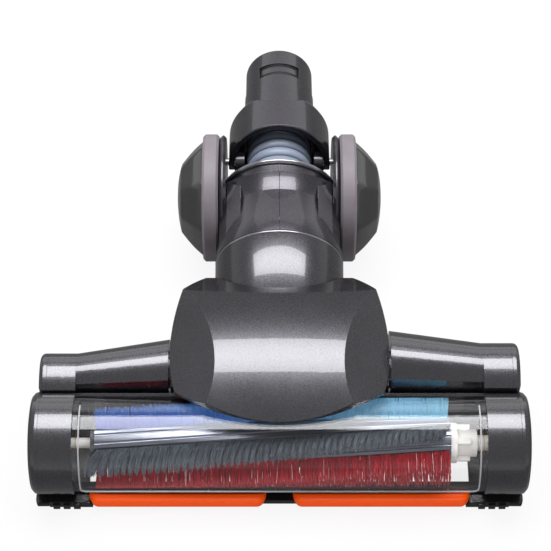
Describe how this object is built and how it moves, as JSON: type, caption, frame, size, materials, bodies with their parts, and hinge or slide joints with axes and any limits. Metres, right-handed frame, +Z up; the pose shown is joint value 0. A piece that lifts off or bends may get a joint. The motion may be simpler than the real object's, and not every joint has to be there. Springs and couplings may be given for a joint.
{
  "type": "vacuum floor brush head",
  "caption": "Powered vacuum floor head with a spinning bristle brush behind a clear arched window, a swivelling neck on wheels and a hinged hose-fed wand spigot.",
  "frame": {"origin": "on the floor, midway between the ends, under the crossbar axis on the flat sole", "axes": "+X to the right end seen from the front, +Y back along the neck towards the wand, +Z up from the floor"},
  "size_m": [0.221, 0.2409, 0.0682],
  "materials": {
    "graphite_gloss": "metallic flake gloss",
    "clear_window": "clear polished",
    "sole_black": "fine texture",
    "orange_trim": "satin",
    "neck_grey": "satin",
    "hub_grey": "gloss",
    "rim_black": "satin",
    "tyre_rubber": "soft matte",
    "belt_rubber": "matte",
    "hose_blue_grey": "satin",
    "core_silver": "brushed",
    "white_plastic": "satin",
    "red_nylon": "bristle",
    "grey_plush": "plush",
    "blue_nylon": "bristle",
    "steel": "machined",
    "motor_steel": "plated",
    "bronze": "sintered",
    "lock_plastic": "satin"
  },
  "bodies": {
    "head": {"rear_housing": "graphite_gloss", "brush_window": "clear_window", "sole_plate": "sole_black", "sole_screws": "steel", "end_cap_left": "graphite_gloss", "end_cap_right": "graphite_gloss", "end_plate_left": "graphite_gloss", "end_plate_right": "graphite_gloss", "front_bumper_left": "orange_trim", "front_bumper_right": "orange_trim", "motor_can": "motor_steel", "drive_belt": "belt_rubber", "bearing_left": "bronze", "bearing_right": "bronze"},
    "lock": {"end_lock": "lock_plastic"},
    "rotor": {"motor_shaft": "steel", "motor_pulley": "white_plastic"},
    "brush": {"brush_core": "core_silver", "red_bristles_1": "red_nylon", "red_bristles_2": "red_nylon", "grey_bristles_1": "grey_plush", "grey_bristles_2": "grey_plush", "blue_bristles_1": "blue_nylon", "blue_bristles_2": "blue_nylon", "brush_drive_dog": "white_plastic", "brush_journal": "white_plastic", "brush_pulley": "white_plastic"},
    "turret": {"hood": "graphite_gloss", "turret_base": "sole_black", "elbow": "graphite_gloss", "snap_ring": "steel"},
    "neck": {"neck_left": "neck_grey", "neck_right": "neck_grey", "axle_left": "steel", "axle_right": "steel", "axle_clip_left": "steel", "axle_clip_right": "steel", "hinge_pin_left": "steel", "hinge_pin_right": "steel", "hose_cuff_lower": "rim_black", "flex_hose": "hose_blue_grey"},
    "wheel_left": {"tyre_left": "tyre_rubber", "wheel_rim_left": "rim_black", "hub_cap_left": "hub_grey"},
    "wheel_right": {"tyre_right": "tyre_rubber", "wheel_rim_right": "rim_black", "hub_cap_right": "hub_grey"},
    "wand": {"wand_tube": "neck_grey", "wand_collar": "neck_grey", "hose_cuff_upper": "rim_black", "contact_block": "rim_black", "contact_blades": "bronze"}
  },
  "joints": [
    {"name": "brush_spin", "type": "hinge", "parent": "head", "child": "brush", "pos_m": [0, -0.032, 0.0215], "axis": [1, 0, 0], "continuous": true},
    {"name": "motor_spin", "type": "hinge", "parent": "head", "child": "rotor", "pos_m": [0, 0, 0.03], "axis": [1, 0, 0], "continuous": true},
    {"name": "end_lock_turn", "type": "hinge", "parent": "head", "child": "lock", "pos_m": [-0.108, -0.032, 0.0215], "axis": [1, 0, 0], "range_deg": [0, 90]},
    {"name": "head_tilt", "type": "hinge", "parent": "head", "child": "turret", "pos_m": [0, 0, 0.032], "axis": [1, 0, 0], "range_deg": [-12, 1.5]},
    {"name": "neck_twist", "type": "hinge", "parent": "turret", "child": "neck", "pos_m": [0, 0.0505, 0.0385], "axis": [0, 1, 0], "range_deg": [-60, 60]},
    {"name": "wand_tilt", "type": "hinge", "parent": "neck", "child": "wand", "pos_m": [0, 0.1115, 0.0385], "axis": [1, 0, 0], "range_deg": [0, 60], "deforming": ["flex_hose"]},
    {"name": "wheel_left_spin", "type": "hinge", "parent": "neck", "child": "wheel_left", "pos_m": [-0.0324, 0.0959, 0.0305], "axis": [1, 0, 0], "continuous": true},
    {"name": "wheel_right_spin", "type": "hinge", "parent": "neck", "child": "wheel_right", "pos_m": [0.0324, 0.0959, 0.0305], "axis": [1, 0, 0], "continuous": true}
  ],
  "couplings": [
    {"joint": "motor_spin", "follows": "brush_spin", "ratio": 2.25}
  ]
}
